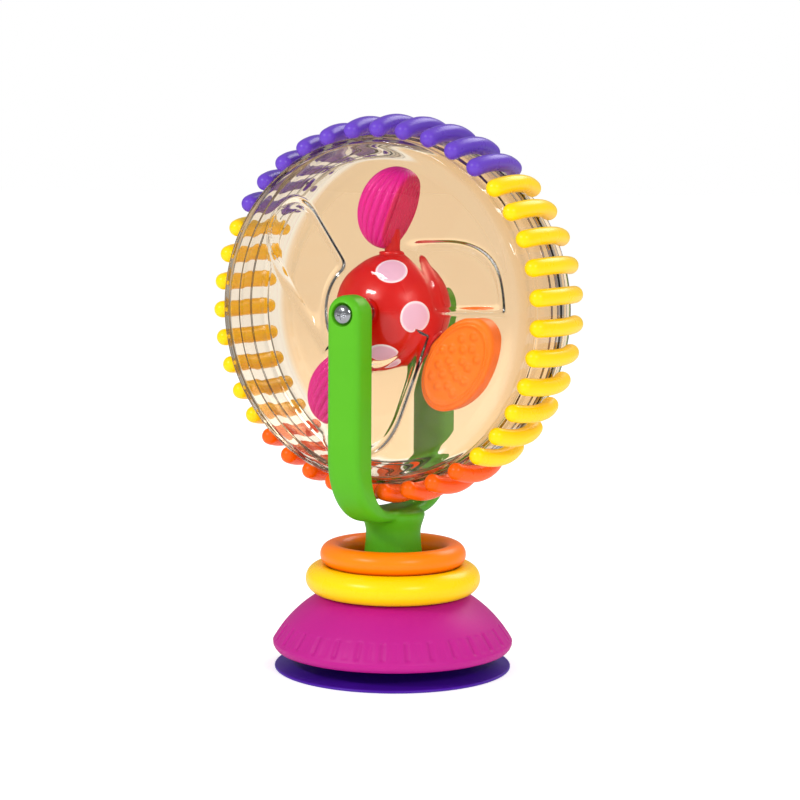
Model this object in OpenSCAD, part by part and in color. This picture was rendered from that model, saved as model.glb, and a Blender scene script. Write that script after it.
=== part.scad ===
// Suction-base spinning wheel toy: a clear drum with a ribbed rim turns between the arms of a fork,
// with a ball and three petals that turn inside it, above two loose rings and a domed suction base.
// Millimetres. The origin is the middle of the face that stands on the table, +Z is up, and the
// axle runs along Y. The side with the bright axle screw and the fork's front arm is -Y.

/* [Wheel] */
// Height of the axle above the table
axle_z = 114; // [114:0.5:118]
// Radius of the wheel over its ribs
wheel_r = 61; // [60.5:0.1:61.2]
// Number of ribs round the rim
rib_count = 39; // [30:1:42]
// Radius of a rib's tube
rib_r = 2.7; // [2:0.1:2.8]
// Half the distance between a rib's two tips, tip centre to tip centre
rib_half = 13.1; // [11:0.1:13.5]
// Radius of the clear drum at its corners
drum_r = 53.4; // [52:0.1:53.6]
// Half the width of the clear drum
drum_half = 17.2; // [17:0.1:17.6]
// Wall thickness of the clear drum
drum_wall = 1.3; // [1:0.1:1.6]
// Directions of the straight edges of the three moulded blades on the front face, in degrees
blade_angles = [2, 125, 249];

/* [Ball and petals] */
// Radius of the ball in the middle
ball_r = 17.8; // [16:0.1:18]
// Directions of the top, left and right petals from the ball, in degrees
petal_angles = [92, 234, 326];
// Length of a ribbed petal
ribbed_length = 26.4; // [20:0.1:26.6]
// Radius of a ribbed petal across its pin
ribbed_r = 10.4; // [8:0.1:10.4]
// Distance from a ribbed petal's middle to its flat face
ribbed_flat = 4.5; // [2:0.1:7]
// Turn of the top and left petals on their pins, in degrees
ribbed_turn = [4, 155];
// Lean of the top and left petals over their pins, in degrees
ribbed_lean = [23, 0];
// Length of the bumpy petal, across its pin
bumpy_length = 33; // [26:0.1:33]
// Width of the bumpy petal, along its pin
bumpy_width = 20.4; // [16:0.1:21]
// Thickness of the bumpy petal
bumpy_thick = 9; // [6:0.1:9.4]

/* [Fork] */
// Width of the fork's arms across the wheel's plane
arm_w = 11.5; // [10:0.1:12]
// Distance from the wheel's middle plane to an arm's outer face
arm_out = 33; // [32.5:0.1:34]
// Distance from the wheel's middle plane to an arm's inner face
arm_in = 22.5; // [22.5:0.1:23]
// Radius of the fork's stem at its waist
stem_r = 8.5; // [8.2:0.1:9]

/* [Base] */
// Radius of the suction cup
cup_r = 37.6; // [34:0.1:40]
// Greatest radius of the dome
dome_r = 38.2; // [37.5:0.1:38.4]
// Number of grip grooves round the dome
grip_count = 30; // [20:1:36]
// Outer radius and tube radius of the yellow ring
yellow_out = 27.8; // [27.6:0.1:28]
yellow_tube = 4.6; // [4.4:0.1:4.6]
// Outer radius and tube radius of the orange ring
orange_out = 23.2; // [23:0.1:23.4]
orange_tube = 3.7; // [3.4:0.1:3.7]

/* [Hidden] */
$fn = 96;
eps = 0.01;

// Axle, its screws and the gaps round it
axle_r = 2;
running_gap = 0.06;
screw_r = 1.25;
screw_seat = arm_out - 1.2;
axle_half = 28;
spacer_r = 3.6;
side_gap = 0.1;

// Drum: band under the ribs, ridge beside it, rounded corner, dished face and domed middle
band_r = drum_r + 1;
band_half = 8.6;
ridge_r = 0.8;
corner_r = 1.8;
lip_r = 50.6;
dish_r = 46;
face_y = drum_half - 1.2;
bubble_r = ball_r + 0.8;
hub_r = 3.8;
hub_y = arm_in - 2.1;
blade_depth = 1.8;
blade_out = 44.8;
blade_ins = [22.8, 17, 17];
blade_wide = 20.5;
blade_round = 6;
blade_corner_x = 35;

// Rib: an arc through both tips, with the crown at the wheel's radius
tip_r = drum_r + 2.6;
crown_r = wheel_r - rib_r;
rib_rise = crown_r - tip_r;
rib_bend_r = (rib_half * rib_half + rib_rise * rib_rise) / (2 * rib_rise);
rib_sweep = 2 * asin(rib_half / rib_bend_r);
rib_step = 360 / rib_count;
// Every rib has a number. Numbers rise clockwise, and rib 7 is beside the top.
rib_seven = 89;
violet_first = 1;
violet_count = 11;
yellow_count = 11;
orange_count = 9;

// Ball, sleeve, necks and petal pins
ball_wall = 1.8;
sleeve_r = 4;
pin_r = 2.5;
neck_r = 4.2;
neck_end = 18.3;
petal_start = 18.6;
pin_end = 25;
ribbed_side_r = 18;
flange_in = 12.9;
flange_out = 14.9;

// Fork: outer and inner bends, and the stem's tail in the dome's socket
outer_bend_r = 22;
inner_bend_r = 14.5;
fork_floor = axle_z - 62.5;
fork_under = fork_floor - 3.5;
tail_r = 8;
collar_top = 31;
tail_end = 19.5;

// Dome: the flank is an arc round a centre below the table
flank_r = 39.4;
flank_centre = [dome_r - 34.2, -10.9];
dome_widest_z = 8.7;
crown_z = 23.7;
dome_wall = 2.2;
lip_z = 6;
collar_r = 14.5;
socket_r = 12;
plate_top = 8.4;
plate_r = 35.4;
cup_top = lip_z;
stud_r = 5;
stud_floor = 8.9;
stud_head_r = 6.5;
chamber_r = 8;
web_under = 17;
ring_gap = 0.25;

// Loose rings: the yellow one rests on the dome's crown and the orange one on the yellow one
yellow_mid = yellow_out - yellow_tube;
orange_mid = orange_out - orange_tube;
yellow_z = crown_z + yellow_tube + ring_gap;
rings_apart = yellow_tube + orange_tube + ring_gap;
orange_z = yellow_z + sqrt(pow(rings_apart, 2) - pow(yellow_mid - orange_mid, 2));

// ---- placing ----

// Turns a shape made along +Z so that its axis runs along -Y through the axle's centre
module to_front() translate([0, 0, axle_z]) rotate([90, 0, 0]) children();
// The same towards +Y
module to_rear() translate([0, 0, axle_z]) rotate([-90, 0, 0]) children();
// Turns a shape made along +Z so that it points out of the ball at an angle in the wheel's plane
module radial(angle) translate([0, 0, axle_z]) rotate([0, 90 - angle, 0]) children();

// ---- base ----

// Flexible disc with a shallow hollow below and a mushroom stud that holds it in the dome
module suction_cup() color("indigo") rotate_extrude()
    polygon([[0, 3.3], [10, 3.2], [24, 1.6], [cup_r - 1.4, 0], [cup_r, 0], [cup_r, 0.9],
        [24, 3], [15, 4.6], [14, cup_top], [stud_r, cup_top], [stud_r, stud_floor],
        [stud_head_r, stud_floor], [stud_head_r, 10.2], [3, 12.2], [0, 12.2]]);

// Disc that closes the dome from below
module base_plate() color("indigo") translate([0, 0, lip_z + eps]) difference() {
    cylinder(r = plate_r, h = plate_top - lip_z - eps);
    translate([0, 0, -1]) cylinder(r = socket_r, h = 5);
}

// Region under the dome's flank, inset by a wall
module flank_section(inset, low, high) intersection() {
    translate(flank_centre) circle(flank_r - inset);
    translate([0, low]) square([50, high - low]);
}

// Half section of the dome with its collar, its socket and the hole for the cup's stud
module dome_section() difference() {
    union() {
        flank_section(0, dome_widest_z, crown_z);
        polygon([[0, lip_z], [dome_r - 1.2, lip_z], [dome_r - 0.3, 7.2], [dome_r, dome_widest_z],
            [0, dome_widest_z]]);
        translate([0, lip_z]) square([collar_r, collar_top - lip_z]);
    }
    difference() {
        union() {
            flank_section(dome_wall, plate_top, crown_z - dome_wall);
            square([plate_r, plate_top]);
        }
        square([socket_r, crown_z]);
    }
    translate([0, tail_end]) square([tail_r, collar_top]);
    translate([0, stud_floor]) square([chamber_r, web_under - stud_floor]);
    square([stud_r, collar_top]);
}

// Web across the socket that the base screw pulls against
module socket_web() translate([0, 0, web_under]) difference() {
    cylinder(r = chamber_r + eps, h = tail_end - web_under);
    translate([0, 0, -1]) cylinder(r = 2.3, h = 5);
}

// Shallow grooves round the dome's lower edge, between its grip pads
module grip_grooves() intersection() {
    rotate_extrude() difference() {
        flank_section(-2, 10, 14.6);
        flank_section(0.5, 9, 15.6);
    }
    for (i = [0 : grip_count - 1])
        rotate([0, 0, i * 360 / grip_count]) translate([30, -0.7, 9]) cube([12, 1.4, 7]);
}

module base_dome() color("mediumvioletred") {
    difference() {
        rotate_extrude() dome_section();
        grip_grooves();
    }
    socket_web();
}

module base_washer() color("silver") translate([0, 0, web_under - 1.1]) difference() {
    cylinder(r = 4.6, h = 1.1);
    translate([0, 0, -1]) cylinder(r = 2.2, h = 4);
}

// Screw that pulls the fork's tail down into the socket
module base_screw() color("silver") {
    translate([0, 0, web_under - 3.3]) cylinder(r = 3.6, h = 2.2);
    translate([0, 0, web_under - 1.2]) cylinder(r = 2, h = 16);
}

// ---- fork ----

// Outline of the U seen along X, [y, z]
module fork_outline() difference() {
    union() {
        translate([-arm_out, axle_z - 44]) square([2 * arm_out, 44 + arm_w / 2]);
        for (side = [-1, 1])
            translate([side * (arm_out - outer_bend_r), fork_under + outer_bend_r])
                circle(outer_bend_r);
        translate([outer_bend_r - arm_out, fork_under])
            square([2 * (arm_out - outer_bend_r), 30]);
    }
    translate([-arm_in, fork_floor + inner_bend_r]) square([2 * arm_in, 80]);
    for (side = [-1, 1])
        translate([side * (arm_in - inner_bend_r), fork_floor + inner_bend_r])
            circle(inner_bend_r);
    translate([inner_bend_r - arm_in, fork_floor]) square([2 * (arm_in - inner_bend_r), 30]);
}

// Half section of the stem: tail, shoulder, waist and the flare under the U
module stem_section() {
    translate([0, tail_end]) square([tail_r, collar_top - tail_end + 1]);
    polygon([[0, collar_top], [stem_r + 1.5, collar_top], [stem_r + 1, 35], [stem_r + 0.3, 40],
        [stem_r, 44], [stem_r + 0.5, 47], [stem_r + 1.6, fork_under + 1],
        [stem_r, fork_floor - 0.6], [0, fork_floor - 0.6]]);
}

module fork() color("limegreen") difference() {
    union() {
        intersection() {
            rotate([90, 0, 90]) translate([0, 0, -arm_w / 2]) linear_extrude(arm_w) fork_outline();
            union() {
                translate([0, 50, axle_z]) rotate([90, 0, 0]) cylinder(r = arm_w / 2, h = 100);
                translate([-20, -50, 0]) cube([40, 100, axle_z]);
            }
        }
        rotate_extrude() stem_section();
    }
    // Axle bore, screw clearance and a shallow seat for each screw head
    to_front() translate([0, 0, -axle_half]) cylinder(r = axle_r, h = 2 * axle_half);
    to_front() translate([0, 0, -40]) cylinder(r = screw_r + 0.1, h = 80);
    to_front() translate([0, 0, screw_seat]) cylinder(r = 3.6, h = 5);
    to_rear() translate([0, 0, screw_seat]) cylinder(r = 3.6, h = 5);
    translate([0, 0, tail_end - 1]) cylinder(r = 2, h = 14.4);
}

// ---- axle ----

module axle() color("silver") to_front() difference() {
    translate([0, 0, -axle_half]) cylinder(r = axle_r, h = 2 * axle_half);
    for (end = [-axle_half - 1, axle_half - 8])
        translate([0, 0, end]) cylinder(r = screw_r, h = 9);
}

// Screw with a domed head and a cross recess, along +Z from its seat
module domed_screw() difference() {
    union() {
        translate([0, 0, screw_seat - 10]) cylinder(r = screw_r, h = 10 + eps);
        intersection() {
            translate([0, 0, screw_seat - 2.1]) sphere(r = 3.74);
            translate([0, 0, screw_seat]) cylinder(r = 3.1, h = 3);
        }
    }
    for (turn = [0, 90])
        rotate([0, 0, turn]) translate([-1.5, -0.3, screw_seat + 0.7]) cube([3, 0.6, 2]);
}

module front_screw() color("silver") to_front() domed_screw();
module rear_screw() color("silver") to_rear() domed_screw();

// Washer between an arm and the drum's hub
module spacer() translate([0, 0, hub_y + side_gap]) difference() {
    cylinder(r = spacer_r, h = arm_in - hub_y - side_gap);
    translate([0, 0, -1]) cylinder(r = axle_r, h = 5);
}

module front_spacer() color("red") to_front() spacer();
module rear_spacer() color("red") to_rear() spacer();

// ---- rings ----

module yellow_ring() color("gold") translate([0, 0, yellow_z])
    rotate_extrude() translate([yellow_mid, 0]) circle(yellow_tube);

module orange_ring() color("darkorange") translate([0, 0, orange_z])
    rotate_extrude() translate([orange_mid, 0]) circle(orange_tube);

// ---- drum ----

// Half section of one drum shell, from the seam at the bottom to the face at the top
module shell_section() difference() {
    union() {
        difference() {
            union() {
                square([band_r, band_half]);
                translate([band_r - ridge_r, band_half]) circle(ridge_r);
                square([drum_r, drum_half - corner_r]);
                square([drum_r - corner_r, drum_half]);
                translate([drum_r - corner_r, drum_half - corner_r]) circle(corner_r);
            }
            polygon([[-1, face_y], [dish_r, face_y], [lip_r, drum_half], [lip_r, 30], [-1, 30]]);
        }
        intersection() {
            circle(bubble_r + drum_wall);
            square([50, 50]);
        }
        square([hub_r, hub_y]);
    }
    translate([-1, -1]) square([band_r - drum_wall + 1, band_half]);
    translate([-1, -1]) square([drum_r - drum_wall + 1, face_y - drum_wall + 1]);
    circle(bubble_r);
    translate([-1, -1]) square([axle_r + running_gap + 1, 40]);
}

// Outline of a moulded blade: a round-cornered strip between two circles, grown by a margin.
// Its straight edge runs along +X.
module blade_outline(inner_r, grow) difference() {
    intersection() {
        circle(blade_out + grow);
        union() {
            translate([10, -grow]) square([40, blade_wide - blade_round + grow]);
            translate([10, -grow]) square([blade_corner_x - 10, blade_wide + 2 * grow]);
            translate([blade_corner_x, blade_wide - blade_round]) circle(blade_round + grow);
        }
    }
    circle(inner_r - grow);
}

// The three blades' outlines, raised from a height
module blades(grow, floor_z, height) for (i = [0 : len(blade_angles) - 1])
    rotate([0, 0, blade_angles[i]]) translate([0, 0, floor_z])
        linear_extrude(height) blade_outline(blade_ins[i], grow);

// Front shell, with a hollow pressed into its face for each blade
module drum_front() color("bisque", 0.4) to_front() difference() {
    union() {
        rotate_extrude() shell_section();
        blades(drum_wall, face_y - blade_depth - drum_wall, blade_depth + drum_wall - eps);
    }
    blades(0, face_y - blade_depth, 10);
}

// Rear shell, with a plain face
module drum_rear() color("bisque", 0.4) to_rear() rotate_extrude() shell_section();

// ---- ribs ----

// Rounded end of a rib along +Z, a hair slimmer than its tube
module rib_end() rotate_extrude() {
    intersection() {
        circle(rib_r - 0.05);
        square(rib_r);
    }
    translate([0, -0.3]) square([rib_r - 0.05, 0.3 + eps]);
}

// One banana-shaped rib over the rim, centred on +X
module rib() translate([crown_r - rib_bend_r, 0, 0]) {
    rotate([0, 0, -rib_sweep / 2]) rotate_extrude(angle = rib_sweep)
        translate([rib_bend_r, 0]) circle(rib_r);
    for (end = [-1, 1])
        rotate([0, 0, end * rib_sweep / 2]) translate([rib_bend_r, 0, 0])
            rotate([-90 * end, 0, 0]) rib_end();
}

// A run of ribs, from the rib with number first
module rib_run(first, count) translate([0, 0, axle_z])
    for (number = [first : first + count - 1])
        rotate([0, (number - 7) * rib_step - rib_seven, 0]) rib();

module violet_ribs() color("slateblue") rib_run(violet_first, violet_count);
module right_yellow_ribs() color("gold") rib_run(violet_first + violet_count, yellow_count);
module orange_ribs() color("orangered")
    rib_run(violet_first + violet_count + yellow_count, orange_count);
module left_yellow_ribs() color("gold")
    rib_run(violet_first + violet_count + yellow_count + orange_count,
        rib_count - violet_count - yellow_count - orange_count);

// ---- ball and petals ----

// Half of the hollow ball, with half of each petal's neck
module ball_half(side) difference() {
    union() {
        translate([0, 0, axle_z]) sphere(ball_r);
        for (angle = petal_angles)
            radial(angle) translate([0, 0, ball_r - 3]) cylinder(r = neck_r, h = neck_end - ball_r + 3);
    }
    translate([0, 0, axle_z]) sphere(ball_r - ball_wall);
    for (angle = petal_angles)
        radial(angle) translate([0, 0, 10]) cylinder(r = pin_r + running_gap, h = 12);
    to_front() translate([0, 0, -30]) cylinder(r = sleeve_r, h = 60);
    translate([-30, side > 0 ? -60 : 0, axle_z - 30]) cube([60, 60, 60]);
}

module ball_front() color("red") ball_half(-1);
module ball_rear() color("red") ball_half(1);

// Sleeve that joins the ball's halves and runs on the axle
module ball_sleeve() color("red") to_front() difference() {
    translate([0, 0, 0.2 - ball_r]) cylinder(r = sleeve_r, h = 2 * ball_r - 0.4);
    translate([0, 0, -30]) cylinder(r = axle_r + running_gap, h = 60);
}

// Pin that a petal turns on, held in the ball by its flange
module petal_pin(angle) color("red") radial(angle) {
    translate([0, 0, flange_in]) cylinder(r = pin_r, h = pin_end - flange_in);
    translate([0, 0, flange_in]) cylinder(r = neck_r, h = flange_out - flange_in);
}

// Ribbed petal: an egg with one flat side, turned on its pin and leaning over it
module ribbed_petal(angle, turn, lean) color("deeppink") radial(angle) difference() {
    translate([0, 0, petal_start + ribbed_length / 2]) rotate([0, 0, turn]) rotate([0, lean, 0])
        intersection() {
            rotate_extrude() intersection() {
                translate([ribbed_r - ribbed_side_r, 0]) circle(r = ribbed_side_r);
                circle(r = ribbed_length / 2);
                translate([0, -20]) square([20, 40]);
            }
            translate([-20, -20, -20]) cube([20 + ribbed_flat, 40, 40]);
        }
    translate([0, 0, pin_end - 8]) cylinder(r = pin_r, h = 8);
}

// Bumpy petal: a thick oval lying across its pin
module bumpy_petal(angle) color("darkorange") radial(angle) difference() {
    translate([0, 0, petal_start + 0.1 + bumpy_width / 2]) scale([bumpy_length / 2, 1, bumpy_width / 2])
        rotate([90, 0, 0]) union() {
            cylinder(r = 1, h = bumpy_thick - 3, center = true, $fn = 64);
            cylinder(r = 0.92, h = bumpy_thick, center = true, $fn = 64);
        }
    translate([0, 0, pin_end - 10]) cylinder(r = pin_r, h = 10);
}

module top_petal() ribbed_petal(petal_angles[0], ribbed_turn[0], ribbed_lean[0]);
module top_petal_pin() petal_pin(petal_angles[0]);
module left_petal() ribbed_petal(petal_angles[1], ribbed_turn[1], ribbed_lean[1]);
module left_petal_pin() petal_pin(petal_angles[1]);
module right_petal() bumpy_petal(petal_angles[2]);
module right_petal_pin() petal_pin(petal_angles[2]);

suction_cup();
base_plate();
base_dome();
fork();
base_washer();
base_screw();
axle();
front_screw();
rear_screw();
front_spacer();
rear_spacer();
yellow_ring();
orange_ring();
drum_front();
drum_rear();
violet_ribs();
right_yellow_ribs();
orange_ribs();
left_yellow_ribs();
ball_front();
ball_rear();
ball_sleeve();
top_petal();
top_petal_pin();
left_petal();
left_petal_pin();
right_petal();
right_petal_pin();
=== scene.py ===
# %% [markdown]
# # A spinning wheel toy on a suction base
# A clear drum with a ribbed rim turns in a green fork. A spotted ball with three petals turns inside
# the drum, and two loose rings lie round the stem on a domed base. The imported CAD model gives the
# frame: where every piece is, what it rides on and how big it may be. This script gives the looks.
# Sizes in the cells below are in millimetres, and one helper turns them into metres.

import math

import bmesh
import bpy
import numpy as np
from mathutils import Matrix, Vector


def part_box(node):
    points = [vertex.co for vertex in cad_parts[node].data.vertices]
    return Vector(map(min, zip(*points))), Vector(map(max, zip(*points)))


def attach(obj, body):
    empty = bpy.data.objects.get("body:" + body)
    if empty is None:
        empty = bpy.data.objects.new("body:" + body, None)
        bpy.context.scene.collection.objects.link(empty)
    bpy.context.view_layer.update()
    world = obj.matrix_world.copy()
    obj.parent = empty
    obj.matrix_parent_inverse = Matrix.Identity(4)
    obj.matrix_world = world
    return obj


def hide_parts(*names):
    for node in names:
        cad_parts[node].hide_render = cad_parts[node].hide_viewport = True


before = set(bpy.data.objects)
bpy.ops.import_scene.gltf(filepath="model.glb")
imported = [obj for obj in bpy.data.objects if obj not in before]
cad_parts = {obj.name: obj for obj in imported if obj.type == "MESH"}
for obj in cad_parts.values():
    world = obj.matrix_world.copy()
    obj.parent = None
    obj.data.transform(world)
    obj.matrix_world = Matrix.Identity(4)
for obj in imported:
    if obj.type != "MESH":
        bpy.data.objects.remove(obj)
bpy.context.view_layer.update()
MM = 0.001


def node_box(node):
    """Lowest and highest corners of a CAD node, in millimetres."""
    low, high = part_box(node)
    return np.array(low) / MM, np.array(high) / MM


axle_low, axle_high = node_box("axle")
AXLE_Z = (axle_low[2] + axle_high[2]) / 2
AXLE = np.array([0.0, 0.0, AXLE_Z])
print("axle height", round(AXLE_Z, 2), "mm, CAD nodes", len(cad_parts))

# %% [markdown]
# ## Surfaces as grids
# Every new piece is one or more grids of points, worked out as whole arrays. A grid may close on
# itself along its rows, its columns or both, and a row that shrinks to one point is a pole. The
# helper makes the quads, merges the poles and seams, and turns all faces outwards.

# %% Grid helpers


def smooth_step(low, high, value):
    """0 below low, 1 above high, and 3t^2 - 2t^3 between them."""
    t = np.clip((value - low) / (high - low), 0, 1)
    return t * t * (3 - 2 * t)


def soft_min(a, b, k):
    """The smaller of two values, with the corner where they cross rounded over a width k."""
    h = np.clip(0.5 + 0.5 * (b - a) / k, 0, 1)
    return b * (1 - h) + a * h - k * h * (1 - h)


def arc(centre, radius, start, end, count):
    """Points on a circle round centre, from angle start to end in degrees."""
    t = np.radians(np.linspace(start, end, count))
    return np.stack([centre[0] + radius * np.cos(t), centre[1] + radius * np.sin(t)], axis=1)


def line(a, b, count):
    """Evenly spaced points from a towards b, without b."""
    t = np.linspace(0, 1, count, endpoint=False)[:, None]
    return np.array(a) * (1 - t) + np.array(b) * t


def lathe(profile, count):
    """A grid of rows (r, z) turned round +Z: x = r cos t, y = r sin t, with count columns."""
    t = np.linspace(0, 2 * np.pi, count, endpoint=False)
    r = profile[:, :1]
    return np.stack([r * np.cos(t), r * np.sin(t), profile[:, 1:] + 0 * t], axis=2)


def to_front(points, side=-1):
    """Turns a shape made along +Z so that it points along -Y (side -1) or +Y from the axle."""
    x, y, z = points[..., 0], points[..., 1], points[..., 2]
    return np.stack([x, side * z, -side * y + AXLE_Z], axis=-1)


def radial(points, degrees):
    """Turns a shape made along +Z so that it points out of the ball at an angle from +X to +Z."""
    a = math.radians(degrees)
    x, y, z = points[..., 0], points[..., 1], points[..., 2]
    return np.stack([x * math.sin(a) + z * math.cos(a), y,
                     z * math.sin(a) - x * math.cos(a) + AXLE_Z], axis=-1)


def grid_faces(rows, columns, wrap_rows, wrap_columns):
    """Quads of a grid whose points are numbered along each row in turn."""
    i = np.arange(rows if wrap_rows else rows - 1)
    j = np.arange(columns if wrap_columns else columns - 1)
    i, j = np.meshgrid(i, j, indexing="ij")
    below, right = (i + 1) % rows, (j + 1) % columns
    quads = [i * columns + j, i * columns + right, below * columns + right, below * columns + j]
    return np.stack(quads, axis=-1).reshape(-1, 4)


def grid_object(name, grids):
    """One smooth mesh from grids, each given as (points, wrap_rows, wrap_columns)."""
    points, faces, start = [], [], 0
    for grid, wrap_rows, wrap_columns in grids:
        rows, columns = grid.shape[:2]
        points.append(grid.reshape(-1, 3))
        faces.append(grid_faces(rows, columns, wrap_rows, wrap_columns) + start)
        start += rows * columns
    mesh = bpy.data.meshes.new(name)
    mesh.from_pydata((np.concatenate(points) * MM).tolist(), [], np.concatenate(faces).tolist())
    bm = bmesh.new()
    bm.from_mesh(mesh)
    bmesh.ops.remove_doubles(bm, verts=bm.verts, dist=0.002 * MM)
    bmesh.ops.recalc_face_normals(bm, faces=bm.faces)
    bm.to_mesh(mesh)
    bm.free()
    mesh.polygons.foreach_set("use_smooth", [True] * len(mesh.polygons))
    piece = bpy.data.objects.new(name, mesh)
    bpy.context.scene.collection.objects.link(piece)
    return piece


def vertices_mm(piece):
    """A piece's vertices as an array in millimetres."""
    co = np.empty(len(piece.data.vertices) * 3)
    piece.data.vertices.foreach_get("co", co)
    return co.reshape(-1, 3) / MM


def paint(piece, name, values):
    """Stores one number per vertex for a material to read."""
    layer = piece.data.attributes.new(name, "FLOAT", "POINT")
    layer.data.foreach_set("value", values)


def finish_piece(piece, material, body, slot, *nodes):
    """Gives a piece its material and body, and hides the CAD nodes that it stands for. Its slot is not
    used.
    """
    piece.data.materials.clear()
    piece.data.materials.append(material)
    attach(piece, body)
    if nodes:
        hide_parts(*nodes)
    size = np.ptp(vertices_mm(piece), axis=0).round(1)
    print(piece.name, "size", size.tolist(), "mm, faces", len(piece.data.polygons))


# %% [markdown]
# ## Moulded plastic
# All the coloured pieces are injection moulded. Up close such a skin isn't one flat colour: the
# pigment drifts a little, the gloss is uneven where hands and the tool have touched it, and there
# is a fine grain. One node group holds that effect, with named inputs, and each plastic places it
# with its own colour, gloss and grain.

# %% The moulded skin group


def new_group(name, inputs, outputs):
    """An empty shader node group with float or colour sockets."""
    group = bpy.data.node_groups.new(name, "ShaderNodeTree")
    for label, kind, value in inputs:
        socket = group.interface.new_socket(label, in_out="INPUT", socket_type=kind)
        socket.default_value = value
    for label, kind in outputs:
        group.interface.new_socket(label, in_out="OUTPUT", socket_type=kind)
    return group, group.nodes.new("NodeGroupInput"), group.nodes.new("NodeGroupOutput")


def noise(tree, vector, scale, detail=2.0):
    """A noise texture on a vector, scaled by a number or a socket."""
    node = tree.nodes.new("ShaderNodeTexNoise")
    node.inputs["Detail"].default_value = detail
    tree.links.new(vector, node.inputs["Vector"])
    if isinstance(scale, float):
        node.inputs["Scale"].default_value = scale
    else:
        tree.links.new(scale, node.inputs["Scale"])
    return node.outputs["Fac"]


def math_node(tree, operation, *values):
    """A Math node. Each value is a number or a socket."""
    node = tree.nodes.new("ShaderNodeMath")
    node.operation = operation
    for socket, value in zip(node.inputs, values):
        if isinstance(value, (int, float)):
            socket.default_value = value
        else:
            tree.links.new(value, socket)
    return node.outputs[0]


def mix_colour(tree, factor, a, b):
    """A colour Mix node. Factor and colours are values or sockets."""
    node = tree.nodes.new("ShaderNodeMix")
    node.data_type = "RGBA"
    for socket, value in ((node.inputs["Factor"], factor), (node.inputs["A"], a), (node.inputs["B"], b)):
        if isinstance(value, bpy.types.NodeSocket):
            tree.links.new(value, socket)
        else:
            socket.default_value = value
    return node.outputs["Result"]


def build_skin_group():
    """Moulded skin: pigment drift in the colour, uneven gloss, and a fine grain as height."""
    group, start, end = new_group(
        "moulded_skin",
        [("Colour", "NodeSocketColor", (1, 1, 1, 1)), ("Deep Colour", "NodeSocketColor", (1, 1, 1, 1)),
         ("Gloss Level", "NodeSocketFloat", 0.3), ("Unevenness", "NodeSocketFloat", 0.08),
         ("Grain Scale", "NodeSocketFloat", 1500.0)],
        [("Colour", "NodeSocketColor"), ("Roughness", "NodeSocketFloat"), ("Height", "NodeSocketFloat")])
    place = group.nodes.new("ShaderNodeTexCoord").outputs["Object"]
    drift = math_node(group, "SMOOTH_MIN", noise(group, place, 55.0, 3.0), 1.0, 0.2)
    colour = mix_colour(group, drift, start.outputs["Deep Colour"], start.outputs["Colour"])
    patches = math_node(group, "SUBTRACT", noise(group, place, 140.0, 4.0), 0.5)
    uneven = math_node(group, "MULTIPLY", patches, start.outputs["Unevenness"])
    roughness = math_node(group, "MULTIPLY_ADD", uneven, 2.0, start.outputs["Gloss Level"])
    group.links.new(colour, end.inputs["Colour"])
    group.links.new(roughness, end.inputs["Roughness"])
    group.links.new(noise(group, place, start.outputs["Grain Scale"]), end.inputs["Height"])
    return group


SKIN = build_skin_group()
SOFT_SHINE = 0.25


def new_material(name):
    """A material with a Principled shader and no other nodes than its output."""
    material = bpy.data.materials.new(name)
    material.use_nodes = True
    tree = material.node_tree
    return material, tree, tree.nodes["Principled BSDF"]


def skin_node(tree, colour, deep, gloss, uneven, grain):
    """The moulded skin group placed in a material with its own values."""
    node = tree.nodes.new("ShaderNodeGroup")
    node.node_tree = SKIN
    node.inputs["Colour"].default_value = (*colour, 1)
    node.inputs["Deep Colour"].default_value = (*deep, 1)
    node.inputs["Gloss Level"].default_value = gloss
    node.inputs["Unevenness"].default_value = uneven
    node.inputs["Grain Scale"].default_value = grain
    return node


def bump(tree, shader, height, depth_mm):
    """Feeds a height into the shader's normal, with its depth in millimetres."""
    node = tree.nodes.new("ShaderNodeBump")
    node.inputs["Strength"].default_value = 1.0
    node.inputs["Distance"].default_value = depth_mm * MM
    tree.links.new(height, node.inputs["Height"])
    tree.links.new(node.outputs["Normal"], shader.inputs["Normal"])


def moulded(name, colour, deep, gloss=0.3, uneven=0.05, grain=1500.0, depth=0.01):
    """A moulded plastic: the skin group into Base Color, Roughness and a fine bump."""
    material, tree, shader = new_material(name)
    skin = skin_node(tree, colour, deep, gloss, uneven, grain)
    tree.links.new(skin.outputs["Colour"], shader.inputs["Base Color"])
    tree.links.new(skin.outputs["Roughness"], shader.inputs["Roughness"])
    shader.inputs["Specular IOR Level"].default_value = SOFT_SHINE
    bump(tree, shader, skin.outputs["Height"], depth)
    return material


dome_magenta = moulded("dome_magenta", (0.50, 0.006, 0.25), (0.44, 0.004, 0.22),
                       0.48, 0.06, 1100.0, 0.03)
fork_green = moulded("fork_green", (0.095, 0.44, 0.008), (0.075, 0.39, 0.005),
                     0.42, 0.05, 1300.0, 0.015)
cup_indigo = moulded("cup_indigo", (0.075, 0.008, 0.36), (0.05, 0.004, 0.27),
                     0.36, 0.06, 900.0, 0.02)
gloss_yellow = moulded("gloss_yellow", (1.0, 0.66, 0.0), (0.97, 0.59, 0.0), 0.28, 0.04)
ring_orange = moulded("ring_orange", (1.0, 0.24, 0.0), (0.95, 0.19, 0.0), 0.30, 0.04)
rib_orange = moulded("rib_orange", (1.0, 0.13, 0.0), (0.92, 0.09, 0.0), 0.28, 0.04)
rib_violet = moulded("rib_violet", (0.145, 0.06, 0.53), (0.115, 0.045, 0.45), 0.28, 0.04)
ball_red = moulded("ball_red", (0.64, 0.003, 0.001), (0.57, 0.002, 0.001),
                   0.30, 0.04, 1600.0, 0.006)
petal_orange = moulded("petal_orange", (1.0, 0.21, 0.0), (0.93, 0.16, 0.0),
                       0.40, 0.05, 1200.0, 0.015)
print("materials", len(bpy.data.materials))
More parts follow.
